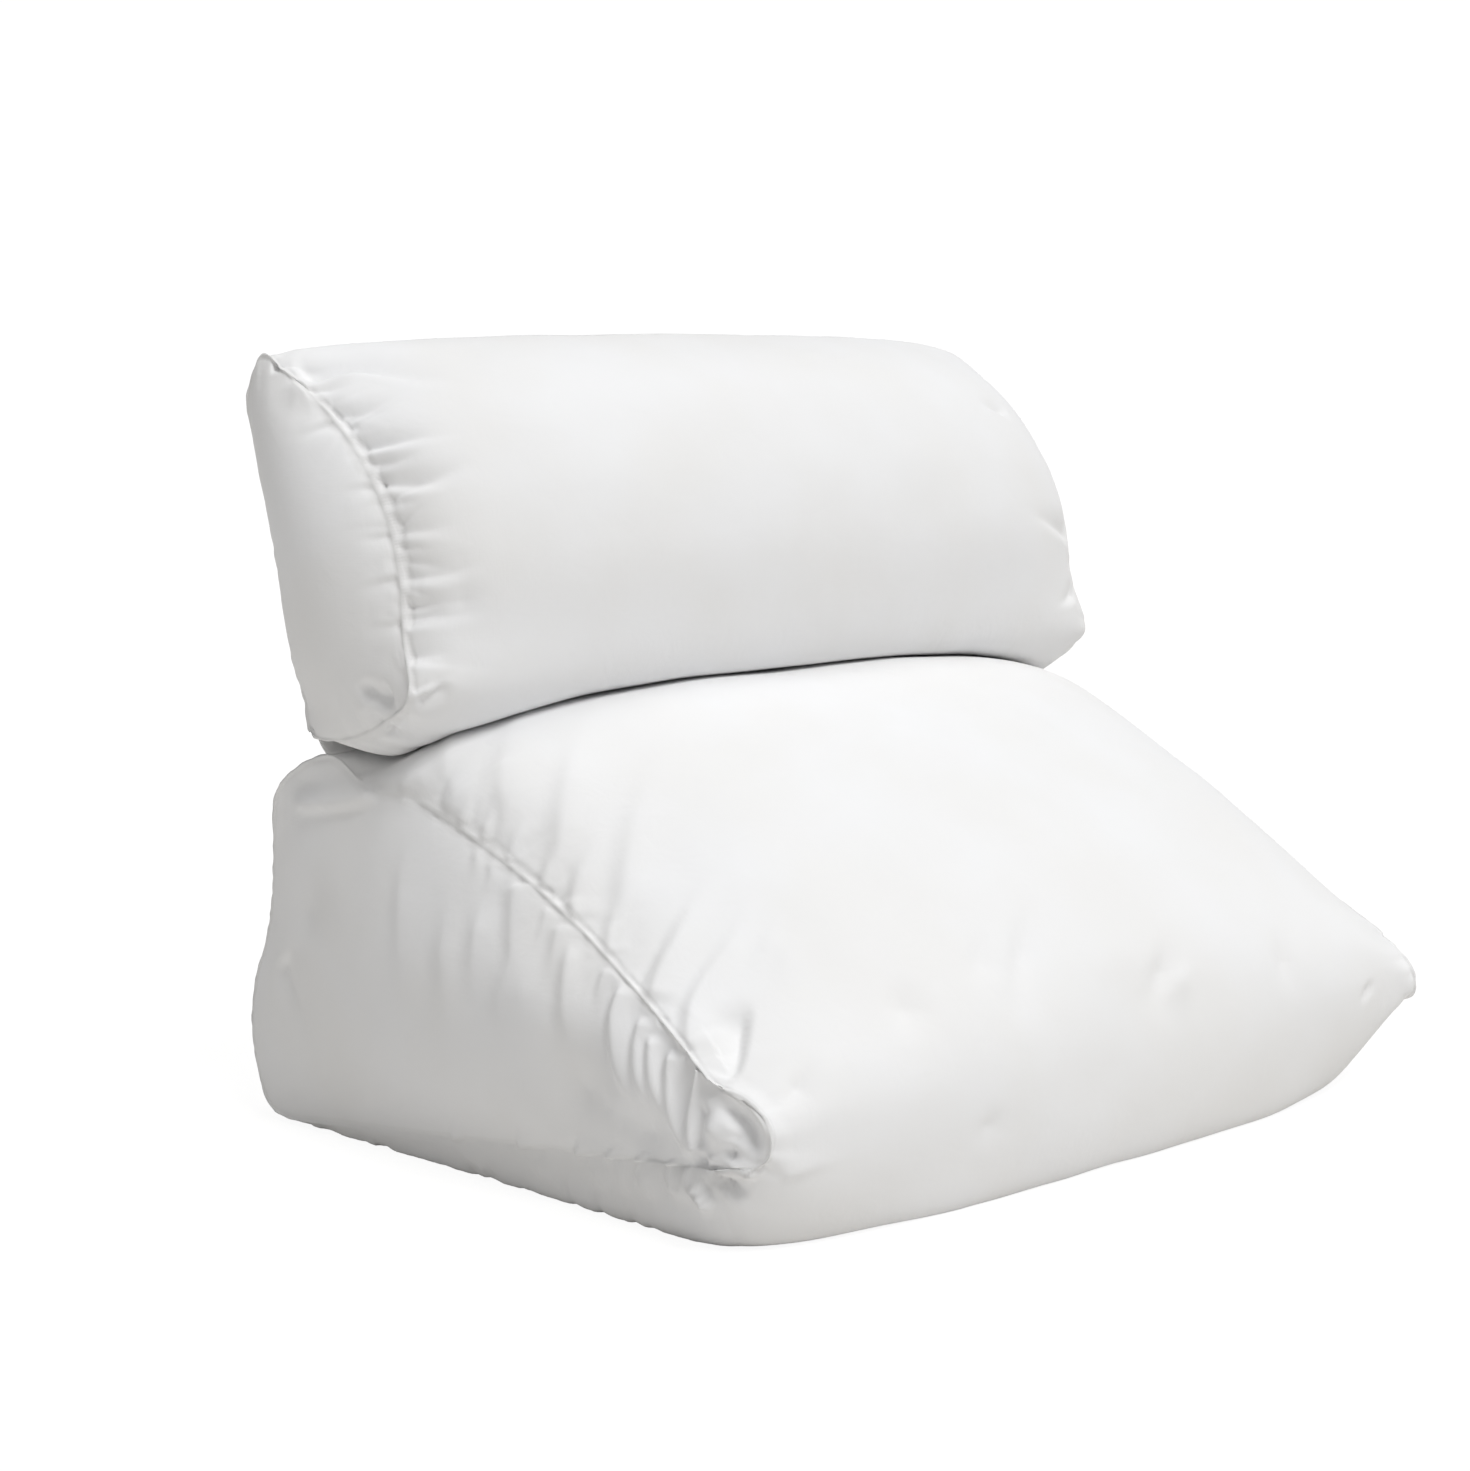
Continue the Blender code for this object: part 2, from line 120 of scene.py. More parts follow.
class Cover:
    """A cushion cover as cut and sewn: rings of points along X, and a gusset in each end."""

    def __init__(self, stations, steps, crowding, drawn_in, bulge, right_lift=1.0):
        self.columns, self.sides, self.shares = section_curve(stations, steps, crowding)
        self.steps, self.drawn_in, self.bulge, self.right_lift = steps, drawn_in, bulge, right_lift
        rows = [SEAM_ROW]
        while sum(rows) < HALF_WIDTH:
            rows.append(min(rows[-1] * ROW_GROWTH, WIDEST_ROW))
        half = np.concatenate([[0.0], np.cumsum(rows)])
        half[1:] = SEAM_ROW + (half[1:] - SEAM_ROW) * (HALF_WIDTH - SEAM_ROW) / (half[-1] - SEAM_ROW)
        self.distance = np.concatenate([half, half[-2::-1]])
        self.end = np.concatenate([-np.ones(len(half)), np.ones(len(half) - 1)])
        seam = self.columns[:, :2]
        hops = np.linalg.norm(np.roll(seam, -1, axis=0) - seam, axis=1)
        self.around = np.concatenate([[0.0], np.cumsum(hops)])
        self.points, self.faces, self.uvs, self.from_seam = [], [], [], []

    def ring(self, distance, end):
        """The points round the cover at a distance from an end seam. The panel climbs to its
        crown at mid-width, and each side's seam is drawn in between the corners. The right end
        may climb more slowly beside the front tip."""
        steepness, drawn_roundness, drawn_fade = 3.0, 0.8, 4
        seam, crown, rise = self.columns[:, :2], self.columns[:, 2:4], self.columns[:, 4]
        if end > 0:
            under, nose = self.sides == 0, self.sides == 3
            near = np.where(under, (1.0 - self.shares) ** 2, np.where(nose, self.shares**2, 0.0))
            rise = rise * (1.0 + (self.right_lift - 1.0) * near)
        left = 1.0 - distance / HALF_WIDTH
        share = (1.0 - left**steepness) ** rise
        yz = seam + (crown - seam) * share[:, None]
        pull = np.array(self.drawn_in)[self.sides] * np.sin(math.pi * self.shares) ** drawn_roundness
        return np.column_stack([end * (HALF_WIDTH * left - pull * left**drawn_fade), yz])

    def wrap(self):
        """The panel: a ring of points for each distance, from the left seam to the right one."""
        count = len(self.sides)
        self.points = [self.ring(d, e) for d, e in zip(self.distance, self.end)]
        self.from_seam = [np.full(count, d) for d in self.distance]
        along = np.concatenate([[0.0], np.cumsum(np.abs(np.diff(self.distance)))])
        for row in range(len(self.distance) - 1):
            for column in range(count):
                beside = (column + 1) % count
                self.faces.append(
                    (row * count + column, row * count + beside,
                     (row + 1) * count + beside, (row + 1) * count + column)
                )
                u0, u1 = self.around[column], self.around[column + 1]
                v0, v1 = along[row], along[row + 1]
                self.uvs += [(u0, v0), (u1, v0), (u1, v1), (u0, v1)]

    def gusset(self, row, end):
        """Stretched over the seam's four sides, like a net, and blown out a little. Its outer
        row of points runs close along the seam."""
        across, up = self.steps[0], self.steps[1]
        widest_inset, roundness, low_part_fullness = 0.2, 0.75, 0.6
        rim = self.points[row]
        loop = np.concatenate([rim, rim[:1]])
        turns = np.cumsum([0, across, up, across, up])
        bottom, right, top, left = (loop[a : b + 1] for a, b in zip(turns, turns[1:]))

        def on(edge, share):
            at = np.linspace(0.0, 1.0, len(edge))
            return np.stack([np.interp(share, at, axis) for axis in edge.T], axis=-1)

        i, j = np.arange(across + 1) / across, np.arange(up + 1) / up
        side_inset = SEAM_ROW / np.linalg.norm(np.diff(bottom, axis=0), axis=1).sum()
        s = np.broadcast_to((side_inset + (1 - 2 * side_inset) * i)[:, None], (across + 1, up + 1))
        high = np.linalg.norm(on(top[::-1], s) - on(bottom, s), axis=-1)
        inset = np.minimum(SEAM_ROW / high, widest_inset)
        r = inset + (1 - 2 * inset) * j[None, :]
        r3, s3 = r[..., None], s[..., None]
        flat = (
            (1 - r3) * on(bottom, s) + r3 * on(top[::-1], s)
            + (1 - s3) * on(left[::-1], r) + s3 * on(right, r)
            - (1 - s3) * (1 - r3) * bottom[0] - s3 * (1 - r3) * right[0]
            - (1 - s3) * r3 * left[0] - s3 * r3 * top[0]
        )
        full = (np.sin(math.pi * s) * np.sin(math.pi * r)).clip(0) ** roundness
        block = flat.copy()
        block[..., 0] += end * self.bulge * full * (high / high.max()) ** low_part_fullness
        first = sum(len(made) for made in self.points)
        names = first + np.arange((across + 1) * (up + 1)).reshape(across + 1, up + 1)
        self.points.append(block.reshape(-1, 3))
        a, b = loop[:-1, 1:], loop[1:, 1:]
        spot = flat.reshape(-1, 3)[:, None, 1:]
        part = ((spot - a) * (b - a)).sum(-1) / ((b - a) ** 2).sum(-1)
        foot = a + (b - a) * part.clip(0, 1)[..., None]
        self.from_seam.append(np.linalg.norm(spot - foot, axis=-1).min(axis=1))
        edge = np.concatenate([names[:-1, 0], names[-1, :-1], names[:0:-1, -1], names[0, :0:-1]])
        placed = {int(name): tuple(yz) for name, yz in zip(names.ravel(), flat.reshape(-1, 3)[:, 1:])}
        start = row * len(rim)
        placed.update({start + k: tuple(point[1:]) for k, point in enumerate(rim)})
        fours = [
            (start + k, start + (k + 1) % len(rim), int(edge[(k + 1) % len(rim)]), int(edge[k]))
            for k in range(len(rim))
        ]
        fours += [
            tuple(int(names[key]) for key in ((i, j), (i + 1, j), (i + 1, j + 1), (i, j + 1)))
            for i in range(across) for j in range(up)
        ]
        for four in fours:
            four = four[::-1] if end < 0 else four
            self.faces.append(four)
            self.uvs += [placed[name] for name in four]

    def as_object(self, name):
        """The whole cover as one mesh, with creased seams, its cloth laid flat as the UV map,
        and at each point how far the seam is and whether it is on the panel."""
        self.wrap()
        panel = sum(len(made) for made in self.points)
        self.gusset(0, -1)
        self.gusset(len(self.distance) - 1, 1)
        mesh = bpy.data.meshes.new(name)
        mesh.from_pydata(np.concatenate(self.points), [], self.faces)
        ends = np.array([edge.vertices[:] for edge in mesh.edges])
        count = len(self.sides)
        last = count * (len(self.distance) - 1)
        seam = (ends < count).all(axis=1) | ((ends >= last) & (ends < last + count)).all(axis=1)
        crease = mesh.attributes.new("crease_edge", "FLOAT", "EDGE")
        crease.data.foreach_set("value", seam.astype(np.float32))
        layer = mesh.uv_layers.new(name="UVMap")
        layer.data.foreach_set("uv", np.array(self.uvs, np.float32).ravel())
        gap = mesh.attributes.new("from_seam", "FLOAT", "POINT")
        gap.data.foreach_set("value", np.concatenate(self.from_seam).astype(np.float32))
        on_panel = mesh.attributes.new("on_panel", "FLOAT", "POINT")
        on_panel.data.foreach_set("value", (np.arange(len(mesh.vertices)) < panel).astype(np.float32))
        made = bpy.data.objects.new(name, mesh)
        bpy.context.scene.collection.objects.link(made)
        return made


def points_of(piece):
    found = np.empty(len(piece.data.vertices) * 3, np.float32)
    piece.data.vertices.foreach_get("co", found)
    return found.reshape(-1, 3).astype(float)


def put_points(piece, points):
    piece.data.vertices.foreach_set("co", points.astype(np.float32).ravel())
    piece.data.update()


def normals_of(piece):
    found = np.empty(len(piece.data.vertices) * 3, np.float32)
    piece.data.vertex_normals.foreach_get("vector", found)
    return found.reshape(-1, 3).astype(float)


def reading(piece, name):
    """A value stored at each point of the piece."""
    found = np.empty(len(piece.data.vertices), np.float32)
    piece.data.attributes[name].data.foreach_get("value", found)
    return found.astype(float)


def apply_modifier(piece, modifier):
    bpy.ops.object.select_all(action="DESELECT")
    bpy.context.view_layer.objects.active = piece
    piece.select_set(True)
    bpy.ops.object.modifier_apply(modifier=modifier.name)


def blow_out(piece, held, pressure, most, slack, evened):
    """Lets the filling press the cover out, by so much at most, while its seams and what rests
    on something stay. The cloth near the seams is a little longer than they are, so that it
    gathers there. The filling then evens out what the cloth did, so many times over."""
    loose_reach, frames = 0.06, 20
    before = points_of(piece)
    pinned = piece.vertex_groups.new(name="held")
    for index in np.nonzero(held)[0]:
        pinned.add([int(index)], 1.0, "REPLACE")
    loose = piece.vertex_groups.new(name="loose")
    for index, weight in enumerate(np.exp(-((reading(piece, "from_seam") / loose_reach) ** 2))):
        loose.add([index], float(weight), "REPLACE")
    cloth = piece.modifiers.new("Cloth", "CLOTH")
    made = cloth.settings
    made.quality = 5
    made.mass = 0.15
    made.tension_stiffness = made.compression_stiffness = 12.0
    made.shear_stiffness = 4.0
    made.bending_stiffness = 0.08
    made.tension_damping = made.compression_damping = made.shear_damping = 5.0
    made.bending_damping = 0.5
    made.vertex_group_mass = "held"
    made.vertex_group_shrink = "loose"
    made.shrink_min = -0.004
    made.shrink_max = -slack
    made.use_pressure = True
    made.uniform_pressure_force = pressure
    made.effector_weights.gravity = 0.0
    for step in range(1, frames + 1):
        bpy.context.scene.frame_set(step)
    apply_modifier(piece, cloth)
    bpy.context.scene.frame_set(1)
    moved = points_of(piece) - before
    ends = np.array([edge.vertices[:] for edge in piece.data.edges])
    ends = np.concatenate([ends, ends[:, ::-1]])
    count = np.bincount(ends[:, 0], minlength=len(moved))[:, None]
    for _ in range(evened):
        around = np.stack(
            [np.bincount(ends[:, 0], axis[ends[:, 1]], len(moved)) for axis in moved.T], axis=1
        )
        moved = (moved + around / count) / 2
        moved[held] = 0.0
    length = np.linalg.norm(moved, axis=1, keepdims=True)
    put_points(piece, before + moved * most * np.tanh(length / most) / np.maximum(length, 1e-9))


def refine(piece):
    """Two subdivisions, so that folds a few millimetres wide can be worked in."""
    for _ in range(2):
        finer = piece.modifiers.new("Finer", "SUBSURF")
        finer.levels = finer.render_levels = 1
        apply_modifier(piece, finer)
    piece.data.shade_smooth()


def surface_of(piece):
    faces = [face.vertices[:] for face in piece.data.polygons]
    return BVHTree.FromPolygons([Vector(point) for point in points_of(piece)], faces)


def marked(surface, seen_from, places):
    """Places in millimetres, as seen square from one side, found on the cloth itself. Where a
    sight line passes the cloth by, the nearest point to its middle is taken."""
    found = []
    for a, b in places:
        a, b = a / 1000, b / 1000
        eye, look = {
            "left": ((-1, a, b), (1, 0, 0)),
            "front": ((a, -1, b), (0, 1, 0)),
            "top": ((a, b, 1), (0, 0, -1)),
        }[seen_from]
        hit = surface.ray_cast(Vector(eye), Vector(look))[0]
        if hit is None:
            hit = surface.find_nearest(Vector(eye) + 0.65 * Vector(look))[0]
        found.append(hit)
    return np.array(found)


def stroke(surface, places):
    """A smooth line through the places, close over the cloth, with its points 3 mm apart."""
    spacing = 0.003
    if len(places) == 1:
        return places
    before, after = 2 * places[:1] - places[1:2], 2 * places[-1:] - places[-2:-1]
    padded = np.concatenate([before, places, after])
    line = []
    for p, q, r, s in zip(padded, padded[1:], padded[2:], padded[3:]):
        count = max(2, int(np.linalg.norm(r - q) / spacing))
        t = np.linspace(0, 1, count, endpoint=False)[:, None]
        line.append(
            q + 0.5 * t * (r - p) + t**2 * (p - 2.5 * q + 2 * r - 0.5 * s)
            + t**3 * (1.5 * q - 1.5 * r + 0.5 * s - 0.5 * p)
        )
    line = np.concatenate(line + [places[-1:]])
    return np.array([surface.find_nearest(Vector(point))[0] for point in line])


# A fold that is fuller than this at one of its ends counts as sewn into the seam there.
FULL = 0.8


def fold_in(piece, folds):
    """Works folds into the cloth. A fold is the side it is seen from, its depth and its half
    width on its right and on its left in millimetres, how full it is at its start and at its
    end, and the places it runs through. A negative depth is a raised fold. Each widens towards
    its end, has a low swell along both sides, and stops short where it is full at a seam."""
    counted_widths, widening, swell, stops_within, seam_hold = 2.6, 0.35, 0.08, 1.5, 0.0014
    surface = surface_of(piece)
    points, normals = points_of(piece), normals_of(piece)
    relief = np.zeros(len(points))
    for seen_from, depth, steep, soft, start, end, *places in folds:
        placed = np.array(places) if seen_from is None else marked(surface, seen_from, places)
        line = stroke(surface, placed)
        reach = counted_widths * max(steep, soft) / 1000
        low, high = line.min(axis=0) - reach, line.max(axis=0) + reach
        near = np.nonzero(((points > low) & (points < high)).all(axis=1))[0]
        spot = points[near]
        if len(line) == 1:
            gap, share = np.linalg.norm(spot - line[0], axis=1), np.zeros(len(near))
            lean = np.zeros(len(near))
        else:
            a, along = line[:-1], np.diff(line, axis=0)
            part = ((spot[:, None] - a) * along).sum(-1) / (along**2).sum(-1)
            part = part.clip(0, 1)
            gaps = np.linalg.norm(spot[:, None] - (a + along * part[..., None]), axis=-1)
            nearest = gaps.argmin(axis=1)
            rows = np.arange(len(near))
            gap, part = gaps[rows, nearest], part[rows, nearest]
            share = (nearest + part) / len(along)
            onward = along[nearest]
            off = spot - (a[nearest] + onward * part[:, None])
            past = (off * onward).sum(-1) / np.linalg.norm(onward, axis=1) * 1000
            right_hand = np.cross(onward, normals[near])
            lean = (right_hand * off).sum(-1)
            lean /= np.linalg.norm(right_hand, axis=1) * gap + 1e-9
        lean = (1 + lean.clip(-1, 1)) / 2
        u = gap * 1000 * (lean / steep + (1 - lean) / soft) / (0.9 + widening * share)
        profile = np.exp(-((1.5 * u) ** 1.6)) - swell * np.exp(-(((u - 1.4) / 0.5) ** 2))
        fade = np.minimum(
            1.0 if start >= 1 else np.clip(share / (1 - start + 1e-9), 0, 1),
            1.0 if end >= 1 else np.clip((1 - share) / (1 - end + 1e-9), 0, 1),
        )
        if len(line) > 1 and start > FULL:
            over = np.where(share < 0.5, np.minimum(past, 0), 0)
            profile = profile * np.exp(-((over / stops_within) ** 2))
        if len(line) > 1 and end > FULL:
            over = np.where(share > 0.5, np.maximum(past, 0), 0)
            profile = profile * np.exp(-((over / stops_within) ** 2))
        relief[near] -= depth / 1000 * profile * fade * fade * (3 - 2 * fade)
    held_back = np.clip(reading(piece, "from_seam") / seam_hold, 0.1, 1.0)
    put_points(piece, points + normals * (relief * held_back)[:, None])


def sew(piece, height, pucker):
    """The seam stands up as a fine ridge with a narrow dip on the panel's side, and the cloth
    next to it is crumpled in small puckers that run away from the seam. In millimetres."""
    ridge_half, dip_at, dip_half, ridge_end, pucker_fade, pucker_end = 0.6, 1.9, 1.0, 8, 18, 90
    points, normals = points_of(piece), normals_of(piece)
    gap, on_panel = reading(piece, "from_seam") * 1000, reading(piece, "on_panel")
    lift = np.zeros(len(points))
    for index in np.nonzero(gap < pucker_end)[0]:
        x, y, z = points[index] * 1000
        d, panel = gap[index], on_panel[index]
        if d < ridge_end:
            uneven = 0.8 + 0.8 * noise.noise(Vector((x, y, z)) / 8)
            dip = (0.15 + 0.35 * panel) * math.exp(-(((d - dip_at) / dip_half) ** 2))
            lift[index] += height * uneven * (math.exp(-((d / ridge_half) ** 2)) - dip)
        across = Vector((x / 55, y / 11, z / 11)).lerp(Vector((x / 11, y / 11, z / 60)), 1 - panel)
        wave = noise.noise(across) + 0.5 * noise.noise(across * 2.1 + Vector((7, 3, 5)))
        lift[index] += pucker * wave * math.exp(-d / pucker_fade) * min(1.0, d / 3)
    put_points(piece, points + normals * (lift / 1000)[:, None])


def crumple(piece, height, size, seed):
    """Shallow, soft unevenness of the filling under the cloth, none of it at the seams."""
    smooth_beside_seam = 0.02
    points, normals = points_of(piece), normals_of(piece)
    off = Vector((seed, -seed, 2 * seed))
    lift = np.array([noise.noise(Vector(point) / size + off) for point in points])
    edge = np.clip(reading(piece, "from_seam") / smooth_beside_seam, 0, 1)
    put_points(piece, points + normals * (height * lift * edge)[:, None])


def at_the_seam(cover, side, drawn_share, folds):
    """The folds' places are given as if the left end's seam were straight. A place that would
    be past the seam, or where a fold is full at the seam, is put on it. The others are moved
    right by a share of how far the seam is drawn in there, up to so far from the end."""
    seam_end, moved_to, moved_over, just_inside = -300, -250, 70, 0.5
    line = (cover.ring(0.0, -1) + np.array(shift))[cover.sides == side] * 1000
    level = {"top": 1, "front": 2}
    moved = []
    for seen_from, *measures in folds:
        if seen_from in level and measures[5][0] < 0:
            line = line[np.argsort(line[:, level[seen_from]])]
            start, end, last = measures[3], measures[4], len(measures) - 6
            full = (0 if start > FULL else None, last if end > FULL else None)
            for turn, (a, b) in enumerate(measures[5:]):
                seam_x = float(np.interp(b, line[:, level[seen_from]], line[:, 0]))
                near = min(max((moved_to - a) / moved_over, 0), 1)
                drawn = seam_x + HALF_WIDTH * 1000
                a = max(a + drawn_share * near * drawn, seam_x + just_inside)
                on_seam = turn in full and a < seam_end
                measures[5 + turn] = (seam_x + just_inside if on_seam else a, b)
        moved.append((seen_from, *measures))
    return tuple(moved)


def gathers(cover, end, pitch, depth, length, rng):
    """Small folds all round an end seam, at uneven spacing. Each runs into the panel, and more
    shallowly into the gusset."""
    panel_widths, gusset_widths, gusset_depth, from_seam = (4.5, 9), (4, 7), 0.35, 0.002
    rows, at = [], rng.uniform(0, pitch)
    seam = cover.ring(0.0, end) + np.array(shift)
    middle = seam.mean(axis=0)
    while at < cover.around[-1]:
        column = int(np.searchsorted(cover.around, at)) % len(seam)
        run, deep = length * rng.uniform(0.3, 1.8), depth * rng.uniform(0.2, 1.5)
        slant = int(rng.integers(-1, 2))
        into = [
            cover.ring(d, end)[(column + slant * k) % len(seam)] + np.array(shift)
            for k, d in enumerate((from_seam, run / 2, run))
        ]
        rows.append((None, deep * 1000, *panel_widths, 1, 0, *into))
        inward = (middle - seam[column]) / np.linalg.norm(middle - seam[column])
        reach = length * rng.uniform(0.2, 1.3)
        into = [seam[column] + inward * d for d in (from_seam, reach / 2, reach)]
        rows.append((None, deep * 1000 * gusset_depth, *gusset_widths, 1, 0, *into))
        at += pitch * rng.uniform(0.4, 2.2)
    return tuple(rows)


# Folds in the cloth, in millimetres: the side each is seen from, its depth, its half width on
# its steep right and on its soft left, how full it is at each end, and the places it runs
# through. A negative depth is a raised fold, and one place a hollow or lump.
WEDGE_FOLDS = (
    # Gusset folds that hang from the seam above the front tip
    ("left", -2.4, 9, 20.7, 1, 0.1,
     (-25, 201), (-33, 181), (-43, 158), (-40, 131), (-52, 107), (-66, 84)),
    ("left", -4.4, 5, 14, 0.9, 0.5,
     (-133, 156), (-134, 136), (-140, 117), (-146, 102), (-156, 88), (-162, 70)),
    ("left", -3.6, 4.4, 12, 0.9, 0.5, (-155, 139), (-157, 120), (-163, 101), (-172, 84), (-180, 66)),
    ("left", -3.8, 4.2, 10, 0.9, 0.6, (-166, 129), (-170, 113), (-176, 96), (-184, 80), (-190, 64)),
    ("left", -4.2, 4.4, 10, 0.9, 0.8,
     (-183, 123), (-184, 109), (-188, 91), (-192, 76), (-200, 65), (-205, 54)),
    ("left", -4.5, 3.8, 5.8, 1, 0.9, (-208, 113), (-206, 98), (-205, 81), (-208, 60)),
    ("left", -1.8, 3.8, 9.2, 0.9, 0.1, (-116, 162), (-118, 148), (-121, 134)),
    ("left", -1.5, 3.8, 8, 1, 0, (-56, 190), (-58, 180), (-59, 166)),
    ("left", -1.4, 3.8, 6.9, 1, 0, (17, 219), (13, 212), (12, 200)),
    ("left", -1.4, 3.8, 6.9, 1, 0, (1, 213), (-3, 204), (-4, 192)),
    ("left", -3.2, 12, 24, 0.4, 0.2, (28, 205), (22, 161), (12, 118), (4, 80)),
    ("left", -3.0, 10, 20, 0.6, 0.2, (-2, 196), (-8, 160), (-18, 118)),
    ("left", -3.2, 8, 19, 0.8, 0.3, (-84, 178), (-92, 150), (-102, 118), (-114, 86)),
    ("left", -2.2, 7, 15, 0.9, 0.2, (-70, 184), (-76, 164), (-84, 140)),
    ("left", -2.6, 10, 22, 0.5, 0.2, (80, 232), (74, 190), (62, 140), (52, 95)),
    ("left", 9.5, 42, 42, 1, 1, (-112, 84)),
    ("left", -3.5, 40, 40, 1, 1, (-60, 140)),
    ("left", 7.0, 24, 24, 1, 1, (-166, 66)),
    ("left", 1.8, 7, 9.2, 0.3, 0.2, (-131, 89), (-131, 76), (-130, 60)),
    ("left", 1.8, 7, 9.2, 0.3, 0.2, (-146, 88), (-146, 72), (-144, 56)),
    # The bunched cloth at the front tip, where four thicknesses meet
    ("left", -8.5, 20, 20, 1, 1, (-224, 80)),
    ("left", -3.6, 6.2, 9, 0.6, 0.6, (-219, 104), (-236, 102), (-250, 95), (-259, 84), (-262, 70)),
    ("left", 8.0, 5, 11, 0.6, 0.5,
     (-223, 95), (-235, 91), (-243, 85), (-249, 77), (-254, 69), (-258, 63)),
    ("left", 5.5, 5, 7, 1, 1, (-236, 67)),
    ("left", 3.0, 5, 5, 1, 1, (-240, 77)),
    ("left", -5.0, 4, 7, 0.5, 0.6, (-230, 65), (-236, 60), (-243, 57), (-250, 56), (-258, 61)),
    ("left", 4.8, 5, 10, 0.8, 0.6, (-214, 95), (-212, 82), (-211, 70), (-213, 58)),
    ("left", 4.5, 6, 6, 1, 1, (-213, 57)),
    ("left", -2.4, 5, 6, 0.5, 0.5, (-221, 66), (-224, 56)),
    # Under the gusset, below the bottom seam
    ("left", -9.0, 5, 13, 0.8, 0.9, (-222, 27), (-215, 35), (-207, 42), (-198, 49)),
    ("left", 8.0, 5, 7, 1, 0.5, (-221, 52), (-229, 49), (-238, 45), (-247, 41)),
    ("left", -7.0, 5, 14, 0.9, 0.3, (-148, 46), (-158, 33), (-172, 19)),
    ("left", -7.5, 5, 13, 0.9, 0.3, (-178, 50), (-186, 36), (-194, 23)),
    ("left", -6.0, 5, 15, 0.9, 0.3, (-93, 42), (-111, 29), (-132, 15)),
    ("left", -6.0, 5, 14, 0.9, 0.3, (-122, 44), (-134, 33), (-149, 21)),
    ("left", -5.0, 7, 18, 0.9, 0.3, (-34, 34), (-56, 21), (-78, 11)),
    ("left", -4.5, 7, 18, 0.9, 0.3, (36, 25), (14, 14), (-8, 7)),
    ("front", -2.7, 6, 13.8, 0.8, 0, (-334, 52), (-319, 54), (-301, 57), (-265, 60)),
    # The back top corner, and the back panel's bulge behind the gusset
    ("left", -6.5, 5, 13, 0.7, 0.9, (209, 231), (185, 233), (161, 236), (135, 241), (119, 247)),
    ("left", 3.5, 9, 14, 0.7, 0.4, (210, 243), (188, 246), (164, 250)),
    ("left", 5, 16, 30, 0.9, 0.2, (216, 122), (206, 108), (194, 94), (180, 80), (160, 68)),
    ("left", 6.0, 36, 36, 1, 1, (182, 158)),
    # The dent in the slope beside the tip, and the long soft folds that run up from it
    ("top", 8.0, 3.5, 19, 0.3, 0.7,
     (-347, -204), (-343, -216), (-336, -226), (-327, -223), (-314, -213), (-304, -205), (-298, -199)),
    ("top", 2.1, 4, 4, 1, 1, (-342, -172)),
    ("top", 2.8, 5, 5, 1, 1, (-340, -196)),
    ("top", -4.1, 6.2, 16.1, 0.3, 0.9, (-262, -132), (-282, -137), (-307, -145), (-325, -150), (-343, -158)),
    ("top", -3.6, 5, 14.9, 0.3, 0.9,
     (-245, -154), (-258, -159), (-281, -169), (-303, -173), (-323, -178), (-337, -189), (-345, -199)),
    ("top", -2.6, 6.2, 13.8, 0.3, 0.3, (-242, -173), (-271, -187), (-290, -189)),
    ("top", -2.5, 6, 17.2, 0.3, 0.3, (-232, -186), (-250, -193), (-275, -205), (-286, -212)),
    ("top", -2.2, 6.2, 10.3, 0.3, 0.9, (-308, 30), (-323, 34), (-336, 37)),
    ("top", -2, 3.8, 8, 0.3, 0.9, (-318, 17), (-329, 16), (-338, 14)),
    ("top", -2, 3.8, 9.2, 0.2, 0.9, (-312, -9), (-328, -10), (-337, -10)),
    ("top", -2.5, 5, 10.3, 0.2, 0.9, (-306, -42), (-323, -43), (-336, -46)),
    ("top", -3, 6.2, 13.8, 0.2, 0.9, (-290, -58), (-323, -68), (-338, -81)),
    ("top", -2.6, 5, 10.3, 0.2, 0.9, (-304, -96), (-324, -104), (-340, -115)),
    ("top", -3.5, 7, 16.1, 0.2, 0.9, (-270, 48), (-300, 62), (-328, 79), (-342, 104)),
    ("top", -3, 7, 16.1, 0.2, 0.9, (-270, 22), (-300, 32), (-324, 45), (-337, 56)),
    ("top", -3.2, 9, 24, 0.1, 0.7, (-190, 40), (-240, 20), (-290, -20), (-332, -62)),
    ("top", -3.0, 9, 24, 0.1, 0.7, (-200, 92), (-250, 70), (-300, 32), (-332, -12)),
    ("top", -3.2, 9, 22, 0.1, 0.7, (-180, -20), (-240, -48), (-292, -84), (-332, -122)),
    ("top", -2.8, 8, 20, 0.1, 0.7, (-215, 132), (-260, 112), (-305, 82), (-334, 42)),
    # Shallow folds down the front
    ("front", 5.3, 12, 20.7, 0.3, 0.3, (-195, 157), (-208, 138), (-220, 115)),
    ("front", 5.8, 9, 17.2, 0.3, 0.3, (-43, 193), (-74, 169), (-104, 140), (-124, 102)),
    ("front", 5.3, 9, 16.1, 0.3, 0.3, (61, 155), (33, 128), (4, 98)),
    ("front", -4.8, 8, 13.8, 0.3, 0.3, (67, 134), (48, 120), (27, 104)),
    ("front", 5.3, 9, 14.9, 0.3, 0.3, (175, 147), (167, 114), (166, 82)),
    ("front", 5.3, 7, 12.6, 0.3, 0.3, (-146, 72), (-156, 58), (-166, 42)),
    ("front", 5.3, 9, 14.9, 0.3, 0.3, (-284, 121), (-311, 103), (-334, 92)),
    ("front", 4.0, 9, 14.9, 0.3, 0.3, (-111, 174), (-128, 157), (-146, 137)),
    ("front", 5.3, 3.8, 5.8, 0.4, 0.4, (282, 88), (270, 80), (259, 70)),
)


